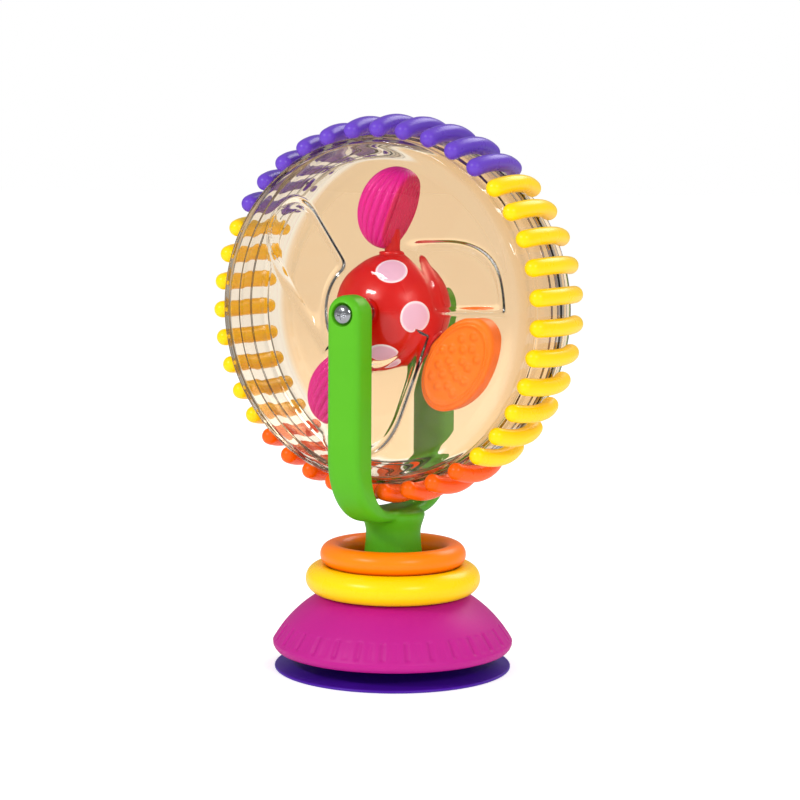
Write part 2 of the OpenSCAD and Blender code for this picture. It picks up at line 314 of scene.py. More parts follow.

# %% [markdown]
# ## Three finishes of their own
# The ribbed petals' flat face is painted a deeper crimson, which is painted shade where it turns away from
# the lamps. The printed dots are pale pink with a whiter edge. Both read a number stored on the
# vertices. The screws are bright plated steel with faint polishing marks.

# %% Petal, print and steel


def attribute(tree, name):
    """The number stored on the vertices under a name."""
    node = tree.nodes.new("ShaderNodeAttribute")
    node.attribute_name = name
    return node.outputs["Fac"]


def shade_and_print_tone(name, colour, second, stored, gloss, depth):
    """A moulded plastic whose colour goes over to a second one where the stored number is 1."""
    material, tree, shader = new_material(name)
    deep = tuple(0.85 * c for c in colour)
    skin = skin_node(tree, colour, deep, gloss, 0.06, 1200.0)
    # The second colour is painted shade on the petals' flat face, and the printed edge on the dots.
    colour = mix_colour(tree, attribute(tree, stored), skin.outputs["Colour"], (*second, 1))
    tree.links.new(colour, shader.inputs["Base Color"])
    tree.links.new(skin.outputs["Roughness"], shader.inputs["Roughness"])
    shader.inputs["Specular IOR Level"].default_value = SOFT_SHINE
    bump(tree, shader, skin.outputs["Height"], depth)
    return material


# The deeper crimson is painted shade on the flat face, where it turns away from the lamps.
petal_magenta = shade_and_print_tone("petal_magenta", (0.74, 0.006, 0.26), (0.60, 0.010, 0.085),
                         "painted_shade_face", 0.38, 0.02)
dot_print = shade_and_print_tone("dot_print", (0.82, 0.48, 0.66), (0.88, 0.76, 0.84),
                     "dot_edge", 0.34, 0.004)


def plated_steel():
    """Bright plating: metal whose roughness follows stretched noise, like polishing marks."""
    material, tree, shader = new_material("plated_steel")
    place = tree.nodes.new("ShaderNodeTexCoord").outputs["Object"]
    stretch = tree.nodes.new("ShaderNodeMapping")
    stretch.inputs["Scale"].default_value = (3000, 500, 900)
    tree.links.new(place, stretch.inputs["Vector"])
    marks = noise(tree, stretch.outputs["Vector"], 1.0)
    roughness = math_node(tree, "MULTIPLY_ADD", marks, 0.14, 0.12)
    tree.links.new(roughness, shader.inputs["Roughness"])
    colour = mix_colour(tree, marks, (0.42, 0.43, 0.47, 1), (0.62, 0.63, 0.66, 1))
    tree.links.new(colour, shader.inputs["Base Color"])
    shader.inputs["Metallic"].default_value = 1.0
    bump(tree, shader, marks, 0.01)
    return material


steel = plated_steel()

# %% [markdown]
# ## Clear plastic
# The drum is polished clear plastic with a peach tint, which is stronger in the rear face and
# paler in both bands. The shader is glass, so the rim, the beads and the moulded blades bend what
# is behind them. Its index is lower than the plastic's 1.5, which keeps those lines soft. Lamp light
# can't find its way through bending glass, so shadow and diffuse rays meet a plain tinted pane
# instead, mixed in by the Light Path node.

# %% Clear plastics


def clear_plastic(name, tint, shade, band, pane):
    """Tinted glass, with its own tint in the band, and a plain clear pane for light on its way in."""
    material, tree, shader = new_material(name)
    place = tree.nodes.new("ShaderNodeTexCoord").outputs["Object"]
    drift = noise(tree, place, 25.0, 3.0)
    face = mix_colour(tree, drift, (*shade, 1), (*tint, 1))
    tree.links.new(mix_colour(tree, attribute(tree, "band"), face, (*band, 1)), shader.inputs["Base Color"])
    shader.inputs["Transmission Weight"].default_value = 1.0
    shader.inputs["IOR"].default_value = 1.33
    shader.inputs["Roughness"].default_value = 0.0
    bump(tree, shader, noise(tree, place, 60.0, 1.0), 0.02)
    window = tree.nodes.new("ShaderNodeBsdfTransparent")
    window.inputs["Color"].default_value = (*pane, 1)
    path = tree.nodes.new("ShaderNodeLightPath")
    either = math_node(tree, "MAXIMUM", path.outputs["Is Shadow Ray"], path.outputs["Is Diffuse Ray"])
    mix = tree.nodes.new("ShaderNodeMixShader")
    tree.links.new(either, mix.inputs[0])
    tree.links.new(shader.outputs[0], mix.inputs[1])
    tree.links.new(window.outputs[0], mix.inputs[2])
    tree.links.new(mix.outputs[0], tree.nodes["Material Output"].inputs["Surface"])
    return material


clear_front = clear_plastic("clear_front", (0.99, 0.965, 0.93), (0.98, 0.94, 0.89),
                            band=(0.93, 0.83, 0.69), pane=(0.99, 0.98, 0.96))
clear_rear = clear_plastic("clear_rear", (0.90, 0.66, 0.40), (0.86, 0.61, 0.36),
                           band=(0.95, 0.86, 0.72), pane=(0.99, 0.97, 0.94))
print("clear plastics", clear_front.name, clear_rear.name)

# %% [markdown]
# ## Suction cup
# A flexible vinyl disc with a thin lip. It is a shape of revolution, so its outline is turned round
# the upright axis: flat rim, shallow hollow below, and a mushroom stud above that holds it.

# %% Suction cup
CUP_R = node_box("suction_cup")[1][0]


def cup_profile():
    """Half section from the middle below, round the lip and up to the top of the stud."""
    below = np.concatenate([line((0, 3.3), (24, 1.6), 10), line((24, 1.6), (CUP_R - 1.4, 0.02), 8)])
    lip = arc((CUP_R - 0.45, 0.46), 0.45, -90, 90, 9)
    t = np.linspace(0, 1, 16)
    top = np.stack([CUP_R - 0.6 - t * (CUP_R - 15.6), 0.92 + 3.7 * t ** 1.5], axis=1)
    shoulder = np.array([[14.6, 5.0], [14.2, 5.7], [13.8, 5.98], [5.2, 6.0], [5, 6.3], [5, 8.9]])
    head = np.array([[6.3, 8.9], [6.5, 9.2], [6.5, 10.1], [5.5, 11], [3, 12.1], [1.5, 12.2], [0, 12.2]])
    return np.concatenate([below, lip, top, shoulder, head])


finish_piece(grid_object("suction_cup_disc", [(lathe(cup_profile(), 160), False, True)]),
             cup_indigo, "stand", "suction_cup", "suction_cup")

# %% [markdown]
# ## Dome
# The dome's flank is a large arc. Round its lower edge thirty shallow grooves leave flat grip pads.
# The outline is turned round the axis on a fine grid, and each point of the flank is then pressed
# in by a mask: one factor follows the height, the other the angle to the nearest groove.

# %% Dome
DOME_R = node_box("base_dome")[1][0]
FLANK_R = 39.4
FLANK_CENTRE = (DOME_R - 34.2, -10.9)
WIDEST_Z = 8.7
CROWN_Z = 23.7
COLLAR_R = 14.5
COLLAR_TOP = node_box("base_dome")[1][2]
GRIP_COUNT = 30
DOME_COLUMNS = GRIP_COUNT * 16
GROOVE_DEPTH = 0.5
PAD_DEPTH = 0.16
GRIP_LOW = 9.3
GRIP_HIGH = 15.0


def dome_outside():
    """The seen side: lip, flank arc, crown edge rounded over 1 mm, crown and collar."""
    low = math.degrees(math.asin((WIDEST_Z - FLANK_CENTRE[1]) / FLANK_R))
    high = math.degrees(math.asin((CROWN_Z - 0.5 - FLANK_CENTRE[1]) / FLANK_R))
    lip = np.array([[35.6, 6.02], [DOME_R - 1.6, 6.02], [DOME_R - 1.1, 6.2], [DOME_R - 0.5, 6.9],
                    [DOME_R - 0.12, 7.7]])
    flank = arc(FLANK_CENTRE, FLANK_R, low, high, 64)
    edge_x = flank[-1, 0]
    crown = np.array([[edge_x - 0.5, CROWN_Z - 0.12], [edge_x - 1.2, CROWN_Z], [COLLAR_R + 1, CROWN_Z],
                      [COLLAR_R + 0.2, CROWN_Z + 0.2], [COLLAR_R, CROWN_Z + 1],
                      [COLLAR_R, COLLAR_TOP - 0.8], [COLLAR_R - 0.25, COLLAR_TOP - 0.2],
                      [COLLAR_R - 0.9, COLLAR_TOP], [8.2, COLLAR_TOP], [8.05, COLLAR_TOP - 0.3]])
    inside = np.array([[8.05, 19.5], [2.3, 19.5], [2.3, 17], [8, 17], [8, 9], [12, 8.9], [12, 21.4],
                       [26, 21.0], [34.2, 12], [35.4, 8.6], [35.4, 6.2]])
    return np.concatenate([lip, flank, crown, inside])


def press_grip(points):
    """Presses grooves and a faint pad edge into the flank by moving points towards the axis."""
    r = np.hypot(points[..., 0], points[..., 1])
    angle = np.degrees(np.arctan2(points[..., 1], points[..., 0])) % (360 / GRIP_COUNT)
    across = np.abs(angle - 180 / GRIP_COUNT) * math.pi / 180 * r
    z = points[..., 2]
    tall = smooth_step(GRIP_LOW, GRIP_LOW + 0.9, z) * smooth_step(GRIP_HIGH, GRIP_HIGH - 0.8, z) * (r > 30)
    groove = smooth_step(1.0, 0.45, across) * GROOVE_DEPTH
    pad = smooth_step(2.3, 2.9, across) * PAD_DEPTH
    scale = 1 - (groove + pad) * tall / np.maximum(r, 1)
    return points * np.stack([scale, scale, np.ones_like(scale)], axis=-1)


dome_grid = press_grip(lathe(dome_outside(), DOME_COLUMNS))
finish_piece(grid_object("dome_shell", [(dome_grid, True, True)]),
             dome_magenta, "stand", "magenta_dome", "base_dome")

# %% [markdown]
# ## Loose rings
# Each ring is a torus: one circle carried round another.

# %% Rings


def ring(name, node, material, slot):
    """A torus that fills its CAD node's box."""
    low, high = node_box(node)
    tube = (high[2] - low[2]) / 2
    profile = arc((high[0] - tube, (low[2] + high[2]) / 2), tube, 0, 360, 49)[:-1]
    finish_piece(grid_object(name, [(lathe(profile, 144), True, True)]), material, node, slot, node)


ring("yellow_loop", "yellow_ring", gloss_yellow, "yellow_plastic")
ring("orange_loop", "orange_ring", ring_orange, "orange_plastic")

# %% [markdown]
# ## Fork
# The fork is one moulding: a U with flat arms and soft edges that melts into a round stem. Half of
# a rounded section is carried along the U, turned half a circle round the axle at each arm's end,
# and carried back on the other side, so the whole U is one closed grid. The stem is turned
# separately, both are merged by a voxel remesh, and smoothing rounds the joint between them.

# %% Fork
ARM_HALF = 5.75
ARM_OUT = node_box("fork")[1][1]
ARM_IN = 22.5
OUTER_BEND = 22.0
INNER_BEND = 14.5
FLOOR_Z = AXLE_Z - 62.5
UNDER_Z = FLOOR_Z - 3.5
EDGE_R = 2.6
STEM_R = 8.5


def u_stations():
    """Inner and outer edge points (y, z) along the U, from the front arm's end to the rear's."""
    straight = line((0, 1), (0, 0), 46)[:, 1]
    bend = np.radians(np.linspace(0, 90, 28, endpoint=False))
    flat = np.linspace(1, 0, 9)
    top_outer, top_inner = UNDER_Z + OUTER_BEND, FLOOR_Z + INNER_BEND
    outer_y = np.concatenate([ARM_OUT + 0 * straight, ARM_OUT - OUTER_BEND * (1 - np.cos(bend)),
                              (ARM_OUT - OUTER_BEND) * flat])
    outer_z = np.concatenate([top_outer + (AXLE_Z - top_outer) * straight,
                              top_outer - OUTER_BEND * np.sin(bend), UNDER_Z + 0 * flat])
    inner_y = np.concatenate([ARM_IN + 0 * straight, ARM_IN - INNER_BEND * (1 - np.cos(bend)),
                              (ARM_IN - INNER_BEND) * flat])
    inner_z = np.concatenate([top_inner + (AXLE_Z - top_inner) * straight,
                              top_inner - INNER_BEND * np.sin(bend), FLOOR_Z + 0 * flat])
    outer, inner = np.stack([outer_y, outer_z], 1), np.stack([inner_y, inner_z], 1)
    flip = np.array([-1, 1])
    return np.concatenate([outer * flip, outer[-2::-1]]), np.concatenate([inner * flip, inner[-2::-1]])


def half_section(thickness):
    """Half of a rounded rectangle: (x, depth) from the inner face's middle to the outer's."""
    r = np.minimum(EDGE_R, thickness * 0.45)[:, None]
    t = np.radians(np.linspace(0, 90, 9))[None, :]
    flat = np.linspace(0, 1, 5, endpoint=False)[None, :]
    half = thickness[:, None]
    x = np.concatenate([flat * (ARM_HALF - r), ARM_HALF - r + r * np.sin(t),
                        ARM_HALF - r + r * np.cos(t), (1 - flat - 0.2) * (ARM_HALF - r)], axis=1)
    depth = np.concatenate([0 * flat * r, r * (1 - np.cos(t)), half - r + r * np.sin(t),
                            half + 0 * flat * r], axis=1)
    return x, depth


def fork_u():
    """The closed grid of the U. Turning the half section round the axle rounds each arm's end."""
    outer, inner = u_stations()
    across = outer - inner
    thickness = np.hypot(across[:, 0], across[:, 1])
    x, depth = half_section(thickness)
    place = inner[:, None, :] + depth[..., None] * (across / thickness[:, None])[:, None, :]
    right = np.stack([x, place[..., 0], place[..., 1]], axis=-1)
    turn = np.radians(np.linspace(0, 180, 25))[1:-1, None]

    def end_cap(row):
        """The last section turned over the arm's end, from the right side to the left."""
        return np.stack([row[:, 0] * np.cos(turn), row[:, 1] + 0 * turn,
                         AXLE_Z + row[:, 0] * np.sin(turn)], axis=-1)

    left = right * np.array([-1, 1, 1])
    return np.concatenate([right, end_cap(right[-1]), left[::-1], end_cap(left[0] * [-1, 1, 1])[::-1]])


def stem_profile():
    """Tail in the socket, a waist, and a flare that spreads under the U."""
    tail = np.array([[0, 19.6], [7.6, 19.6], [7.95, 20], [7.95, COLLAR_TOP]])
    t = np.linspace(0, 1, 24)
    z = COLLAR_TOP + 0.1 + t * 18.2
    flare = STEM_R + 1.5 * (1 - t) ** 2 + 1.9 * smooth_step(0.66, 1.08, t)
    top = np.array([[9.4, FLOOR_Z - 1.2], [7.5, FLOOR_Z - 0.5], [0, FLOOR_Z - 0.4]])
    return np.concatenate([tail, np.stack([flare, z], axis=1), top])


def apply_modifiers(piece):
    """Turns a piece's modifiers into its mesh."""
    graph = bpy.context.evaluated_depsgraph_get()
    mesh = bpy.data.meshes.new_from_object(piece.evaluated_get(graph))
    piece.modifiers.clear()
    piece.data = mesh


def melt_together(piece, voxel_mm, rounds):
    """Merges overlapping parts of a piece by a voxel remesh, then smooths the steps away."""
    remesh = piece.modifiers.new("melt", "REMESH")
    remesh.mode = "VOXEL"
    remesh.voxel_size = voxel_mm * MM
    smooth = piece.modifiers.new("ease", "SMOOTH")
    smooth.iterations = rounds
    smooth.factor = 0.5
    apply_modifiers(piece)
    piece.data.polygons.foreach_set("use_smooth", [True] * len(piece.data.polygons))


def drill(piece, profile, side):
    """Cuts a turned shape out of a piece, along the axle on one side."""
    cutter = grid_object("cutter", [(to_front(lathe(profile, 64), side), False, True)])
    cut = piece.modifiers.new("seat", "BOOLEAN")
    cut.operation = "DIFFERENCE"
    cut.solver = "EXACT"
    cut.object = cutter
    apply_modifiers(piece)
    bpy.data.objects.remove(cutter)


fork = grid_object("fork_moulding", [(fork_u(), True, False), (lathe(stem_profile(), 96), False, True)])
VOXEL = 0.7
EASE_ROUNDS = 7
melt_together(fork, VOXEL, EASE_ROUNDS)
SEAT_R = 3.6
SEAT_Y = ARM_OUT - 1.2
seat = np.array([[0, ARM_IN - 1], [2.02, ARM_IN - 1], [2.02, SEAT_Y], [SEAT_R, SEAT_Y],
                 [SEAT_R, ARM_OUT - 0.3], [SEAT_R + 0.4, ARM_OUT + 0.2], [0, ARM_OUT + 0.2]])
for side in (-1, 1):
    drill(fork, seat, side)
fork.data.polygons.foreach_set("use_smooth", [True] * len(fork.data.polygons))
finish_piece(fork, fork_green, "stand", "green_fork", "fork")

# %% [markdown]
# ## Screws
# A screw's head is a shallow dome on a polar grid round the axle. The cross recess is a mask on
# that grid: a point sinks where it is close to either of the two slots.

# %% Screws
HEAD_R = 3.1
HEAD_RISE = 1.55
HEAD_EDGE = 0.35
CROSS_TURN = 0.35
CROSS_DEPTH = 0.5
CROSS_HALF = 0.45
CROSS_REACH = 1.75
SHANK_R = 1.25
SHANK_LONG = 8.0


def screw_grid(side):
    """A domed head, h = rise (1 - (r/R)^2)^0.6, with a cross sunk into it, on a plain shank."""
    share = np.concatenate([np.linspace(0, 0.97, 26), np.sin(np.radians(np.linspace(78, 90, 6)))])
    t = CROSS_TURN + np.linspace(0, 2 * np.pi, 96, endpoint=False)
    r = HEAD_R * share[:, None] + 0 * t
    x, y = r * np.cos(t), r * np.sin(t)
    slot_width = np.minimum(np.abs(x), np.abs(y))
    reach = smooth_step(CROSS_REACH, CROSS_REACH - 0.4, np.maximum(np.abs(x), np.abs(y)))
    sunk = CROSS_DEPTH * smooth_step(CROSS_HALF, CROSS_HALF - 0.3, slot_width) * reach
    height = HEAD_RISE * np.maximum(1 - (r / HEAD_R) ** 2, 0) ** 0.6 - sunk
    head = np.stack([x, y, SEAT_Y + height + HEAD_EDGE], axis=-1)
    skirt = np.stack([head[-1, :, 0], head[-1, :, 1], SEAT_Y + 0 * t], axis=-1)[None]
    under = np.stack([SHANK_R * np.cos(t), SHANK_R * np.sin(t), SEAT_Y + 0 * t], axis=-1)[None]
    tip = under - np.array([0, 0, SHANK_LONG])
    foot = tip * np.array([0, 0, 1.0])
    return to_front(np.concatenate([head, skirt, under, tip, foot]), side)


for side, node in ((-1, "front_screw"), (1, "rear_screw")):
    finish_piece(grid_object(node + "_head", [(screw_grid(side), False, True)]),
                 steel, "stand", "plated_steel", node)

# %% [markdown]
# ## Drum shells
# Each half of the drum is a thin wall: a band under the ribs, a shoulder, a rounded corner, a bead,
# a dished face and a domed middle over the ball. The closed section, outside and inside, is turned
# round the axle on a polar grid. Three blades are pressed into the front face by a mask, which is
# a smooth step over the signed distance to a blade's outline, so the wall keeps its thickness.

# %% Drum section
DRUM_R = 53.4
BAND_R = DRUM_R + 1.0
RIDGE = (BAND_R - 0.8, 8.6)
DRUM_HALF = 17.2
FACE = DRUM_HALF - 1.2
WALL = 1.3
CORNER_R = 1.8
LIP_R = 50.6
DISH_R = 46.0
BUBBLE_R = 19.9
HUB_R = 3.8
HUB_TOP = ARM_IN - 2.1
BORE_R = 2.06
DRUM_COLUMNS = 456


def dish(r, depth):
    """Height of the face at radius r: flat, rising to the lip, and blending into the bubble."""
    rise = (DRUM_HALF - FACE) * smooth_step(DISH_R, LIP_R, r)
    bubble_r = BUBBLE_R - depth
    bubble = np.sqrt(np.maximum(bubble_r ** 2 - r ** 2, 0))
    return -soft_min(-(FACE - depth + rise), -bubble, 2.2)


def face_radii(start, end):
    """Evenly spaced radii across the face, close enough together for the blades' edges."""
    return np.linspace(start, end, 84)


def outer_rows():
    """Outside of a shell as (r, s) rows from the seam to the hub's bore."""
    corner = (DRUM_R - CORNER_R, DRUM_HALF - CORNER_R)
    edge = np.concatenate([
        np.array([[BAND_R, 0.04], [BAND_R, 0.3], [BAND_R, 4], [BAND_R, 7.4]]),
        arc(RIDGE, 0.8, 0, 90, 7), np.array([[DRUM_R + 0.05, 9.5], [DRUM_R, 9.8], [DRUM_R, 12.5]]),
        arc(corner, CORNER_R, 0, 90, 10)])
    r = face_radii(LIP_R, HUB_R + 0.8)
    face = np.stack([r, dish(r, 0.0)], axis=1)
    hub = np.array([[HUB_R + 0.2, face[-1, 1] + 0.12], [HUB_R, face[-1, 1] + 0.4], [HUB_R, HUB_TOP - 0.3],
                    [HUB_R - 0.3, HUB_TOP], [BORE_R + 0.1, HUB_TOP], [BORE_R, HUB_TOP - 0.1]])
    return edge, face, hub


def inner_rows():
    """Inside of a shell as (r, s) rows from the bore back to the seam."""
    r = face_radii(BORE_R, DRUM_R - WALL - 1.0)
    rise = dish(np.minimum(r, DISH_R), WALL)
    face = np.stack([r, rise], axis=1)
    inside = DRUM_R - WALL
    edge = np.concatenate([
        arc((inside - 1.0, FACE - WALL - 1.0), 1.0, 80, 0, 7),
        np.array([[inside, 12], [inside, 9.1], [inside + 0.2, 8.75], [BAND_R - WALL, 8.4],
                  [BAND_R - WALL, 4], [BAND_R - WALL, 0.3], [BAND_R - WALL, 0.04]])])
    return face, edge


# %% Blade mask and shells
BLADES = ((2, 22.8, 1.5), (125, 17.0, 10.0), (249, 17.0, 5.0))
BLADE_OUT = 44.8
BLADE_WIDE = 20.5
BLADE_DEPTH = 1.5
BLADE_SLOPE = (-0.3, 1.7)


def blade_inside(x, z, grow):
    """Signed distance into the nearest blade: a strip beside a radius, between two circles."""
    r = np.hypot(x, z)
    depths = []
    for degrees, inner_r, corner in BLADES:
        a = math.radians(degrees)
        along = x * math.cos(a) + z * math.sin(a)
        across = z * math.cos(a) - x * math.sin(a)
        outer, far, inner = BLADE_OUT - r, BLADE_WIDE - across, r - inner_r
        corners = [soft_min(outer, far, 12.0), soft_min(inner, far, 7.0),
                   soft_min(inner, across, 3.0), soft_min(outer, across, corner), along]
        depths.append(np.minimum.reduce(corners) + grow)
    return np.maximum.reduce(depths)


def shell_grid(side, pressed):
    """The closed section turned round the axle, with the blades pressed in by a depth."""
    edge, face, hub = outer_rows()
    inner_face, inner_edge = inner_rows()
    profile = np.concatenate([edge, face, hub, inner_face, inner_edge])
    rows = [len(edge), len(face), len(hub), len(inner_face), len(inner_edge)]
    kind = np.repeat([0, 1, 0, 2, 0], rows)[:, None]
    t = np.linspace(0, 2 * np.pi, DRUM_COLUMNS, endpoint=False)
    r, s = profile[:, :1] + 0 * t, profile[:, 1:] + 0 * t
    x, z = r * np.cos(t), r * np.sin(t)
    outside = smooth_step(*BLADE_SLOPE, blade_inside(x, z, 0.0))
    inside = smooth_step(*BLADE_SLOPE, blade_inside(x, z, WALL))
    s = s - pressed * np.where(kind == 1, outside, np.where(kind == 2, inside, 0))
    return np.stack([x, side * s, z + AXLE_Z], axis=-1)


for side, node, material, pressed in ((-1, "drum_front", clear_front, BLADE_DEPTH),
                                      (1, "drum_rear", clear_rear, 0.0)):
    shell = grid_object(node + "_shell", [(shell_grid(side, pressed), True, True)])
    away = vertices_mm(shell) - AXLE
    paint(shell, "band", smooth_step(LIP_R, DRUM_R - WALL, np.hypot(away[:, 0], away[:, 2])))
    finish_piece(shell, material, "wheel", "clear_drum", node)

# %% [markdown]
# ## Ribs
# A rib is a tube bent over the rim like a banana, with round tips. One grid holds it: rows run
# along the arc, and at both ends they go on round a quarter circle while the tube closes. The same
# rib is turned round the axle 39 times, and each colour's run is one piece.

# %% Ribs
RIB_R = 2.7
RIB_HALF = 13.1
RIB_CROWN = node_box("right_yellow_ribs")[1][0] - RIB_R
RIB_TIP = DRUM_R + 2.6
RIB_COUNT = 39
RIB_STEP = 360 / RIB_COUNT
RIB_SEVEN = 89.0


def rib_grid():
    """One rib over +X: centre line on a circle of radius R, tube radius RIB_R cos(cap angle)."""
    rise = RIB_CROWN - RIB_TIP
    bend = (RIB_HALF ** 2 + rise ** 2) / (2 * rise)
    sweep = math.asin(RIB_HALF / bend)
    cap = np.radians(np.linspace(90, 0, 9))
    along = np.concatenate([np.full(8, -sweep), np.linspace(-sweep, sweep, 22), np.full(8, sweep)])
    push = np.concatenate([-np.sin(cap[:-1]), np.zeros(22), np.sin(cap[-2::-1])]) * RIB_R
    tube = np.concatenate([np.cos(cap[:-1]), np.ones(22), np.cos(cap[-2::-1])]) * RIB_R
    around = np.linspace(0, 2 * np.pi, 24, endpoint=False)
    out = (bend + tube[:, None] * np.cos(around))
    a, push = along[:, None], push[:, None]
    x = RIB_CROWN - bend + out * np.cos(a) - push * np.sin(a)
    y = out * np.sin(a) + push * np.cos(a)
    return np.stack([x, y, tube[:, None] * np.sin(around) + 0 * x], axis=-1)


def rib_run(first, count):
    """A run of ribs. Rib numbers rise clockwise, and rib 7 is beside the top."""
    rib, grids = rib_grid(), []
    for number in range(first, first + count):
        a = math.radians(RIB_SEVEN - (number - 7) * RIB_STEP)
        turned = np.stack([rib[..., 0] * math.cos(a) - rib[..., 2] * math.sin(a), rib[..., 1],
                           rib[..., 0] * math.sin(a) + rib[..., 2] * math.cos(a) + AXLE_Z], axis=-1)
        grids.append((turned, False, True))
    return grids


for node, first, count, material, slot in (
        ("violet_ribs", 1, 11, rib_violet, "violet_plastic"),
        ("right_yellow_ribs", 12, 11, gloss_yellow, "yellow_plastic"),
        ("orange_ribs", 23, 9, rib_orange, "rib_orange"),
        ("left_yellow_ribs", 32, 8, gloss_yellow, "yellow_plastic")):
    finish_piece(grid_object(node + "_tubes", rib_run(first, count)), material, "wheel", slot, node)

# %% [markdown]
# ## Ball
# The ball is two hollow halves that meet in a fine parting line, with a short neck for each petal.
# Eight printed dots sit on it, four round each end of the axle. A dot is a spherical cap a hair
# above the ball's surface, with a thin edge that comes down to it.

# %% Ball and dots
BALL_R = 17.8
BALL_WALL = 1.8
NECK_R = 4.2
NECK_END = 18.3
PETAL_ANGLES = {"top": 92, "left": 234, "right": 326}


def ball_half(side):
    """Hemisphere from the sleeve's hole to the parting line, then its inside back again."""
    hole = math.degrees(math.asin(4.0 / BALL_R))
    outside = arc((0, 0), BALL_R, 90 - hole, 1.0, 60)
    edge = np.array([[BALL_R - 0.02, 0.14], [BALL_R - 0.12, 0.03], [BALL_R - 0.5, 0.02]])
    inside = arc((0, 0), BALL_R - BALL_WALL, 1.0, 90 - hole * 1.1, 24)
    return to_front(lathe(np.concatenate([outside, edge, inside]), 128), side)


def neck(degrees):
    """Short collar round a petal's pin, from inside the ball to just above it."""
    profile = np.array([[2.56, 15.5], [NECK_R, 15.5], [NECK_R, NECK_END - 0.3],
                        [NECK_R - 0.3, NECK_END], [2.56, NECK_END]])
    return radial(lathe(profile, 48), degrees)


necks = [(neck(degrees), True, True) for degrees in PETAL_ANGLES.values()]
finish_piece(grid_object("ball_front_half", [(ball_half(-1), True, True)] + necks),
             ball_red, "spinner", "red_plastic", "ball_front")
finish_piece(grid_object("ball_rear_half", [(ball_half(1), True, True)]),
             ball_red, "spinner", "red_plastic", "ball_rear")

DOT_R = 5.0
DOT_RISE = 0.07
DOT_TILT = 51.0
DOT_TURNS = (68, -6, -79, 205)


def dot_grid(turn, side):
    """A cap of the sphere of radius BALL_R + rise, centred at a tilt from the axle and a turn."""
    reach = DOT_R / BALL_R
    polar = np.concatenate([np.linspace(0, reach, 12), [reach * 1.01]])
    radius = np.concatenate([np.full(12, BALL_R + DOT_RISE), [BALL_R - 0.1]])
    t = np.linspace(0, 2 * np.pi, 56, endpoint=False)
    cap = np.stack([radius[:, None] * np.sin(polar)[:, None] * np.cos(t),
                    radius[:, None] * np.sin(polar)[:, None] * np.sin(t),
                    (radius * np.cos(polar))[:, None] + 0 * t], axis=-1)
    under = cap[-1:] * 0 + cap[-1:].mean(axis=1, keepdims=True)
    cap = np.concatenate([cap, under])
    tilt, spin = math.radians(DOT_TILT), math.radians(turn)
    out = np.array([math.cos(spin), 0, math.sin(spin)])
    axis = np.array([0, side, 0]) * math.cos(tilt) + out * math.sin(tilt)
    one = np.cross(axis, [0.0, 1.0, 0.0])
    one /= np.linalg.norm(one)
    basis = np.stack([one, np.cross(axis, one), axis])
    return cap @ basis + AXLE, AXLE + BALL_R * axis


def print_dots(side, name):
    """The four dots round one end of the axle, with their edge distance stored for the print."""
    made = [dot_grid(turn, side) for turn in DOT_TURNS]
    piece = grid_object(name, [(grid, False, True) for grid, centre in made])
    co = vertices_mm(piece)
    away = np.min([np.linalg.norm(co - centre, axis=1) for grid, centre in made], axis=0)
    paint(piece, "dot_edge", smooth_step(DOT_R - 0.75, DOT_R - 0.35, away))
    finish_piece(piece, dot_print, "spinner", "red_plastic")


print_dots(-1, "front_dots")
print_dots(1, "rear_dots")

# %% [markdown]
# ## Ribbed petals
# A ribbed petal is an egg with one flattened side. Ridges run from pole to pole over its round
# side, and finer ones cross the flat face inside a raised contour. It is an ellipsoid grid whose
# points are first pressed against a soft plane, then moved out and in by cosines.

# %% Ribbed petals
RIBBED_R = 10.4
RIBBED_LONG = 26.4
RIBBED_FLAT = 4.5
PETAL_START = 18.6
RIDGES = 22
RIDGE_DEEP = 1.2
LINE_RISE = 0.22
LINE_PITCH = 2.1
CONTOUR_RISE = 0.3


def ribbed_shape():
    """The petal round its own middle, with +X out of the flat face and +Z along its length."""
    polar = np.linspace(0, np.pi, 90)[:, None]
    t = np.linspace(0, 2 * np.pi, 264, endpoint=False)
    fade = np.sin(polar) ** 0.8
    ridge = RIDGE_DEEP * fade * (np.abs(np.cos(RIDGES * t / 2)) ** 0.8 - 1)
    r = (RIBBED_R + ridge) * np.sin(polar)
    x, y, z = r * np.cos(t), r * np.sin(t), RIBBED_LONG / 2 * np.cos(polar) + 0 * t
    flat_x = soft_min(x, np.full_like(x, RIBBED_FLAT), 1.6)
    oval = np.sqrt(1 - (RIBBED_FLAT / RIBBED_R) ** 2)
    q = np.hypot(y / (RIBBED_R * oval), z / (RIBBED_LONG / 2 * oval))
    face = smooth_step(0.5, 2.0, x - flat_x)
    lines = LINE_RISE * np.cos(y * 2 * np.pi / LINE_PITCH) * smooth_step(0.95, 0.7, q)
    wave = np.cos(np.clip((q - 0.86) / 0.13, -1, 1) * np.pi)
    contour = CONTOUR_RISE * wave * smooth_step(0.7, 0.8, q)
    return np.stack([flat_x + face * (lines + contour), y, z], axis=-1)


def place_petal(points, degrees, turn, lean):
    """Leans a petal over its pin, turns it on the pin and points it out of the ball."""
    a, b = math.radians(lean), math.radians(turn)
    leaned = np.stack([points[..., 0] * math.cos(a) + points[..., 2] * math.sin(a), points[..., 1],
                       points[..., 2] * math.cos(a) - points[..., 0] * math.sin(a)], axis=-1)
    x = leaned[..., 0] * math.cos(b) - leaned[..., 1] * math.sin(b)
    y = leaned[..., 0] * math.sin(b) + leaned[..., 1] * math.cos(b)
    z = leaned[..., 2] + PETAL_START + RIBBED_LONG / 2
    return radial(np.stack([x, y, z], axis=-1), degrees)


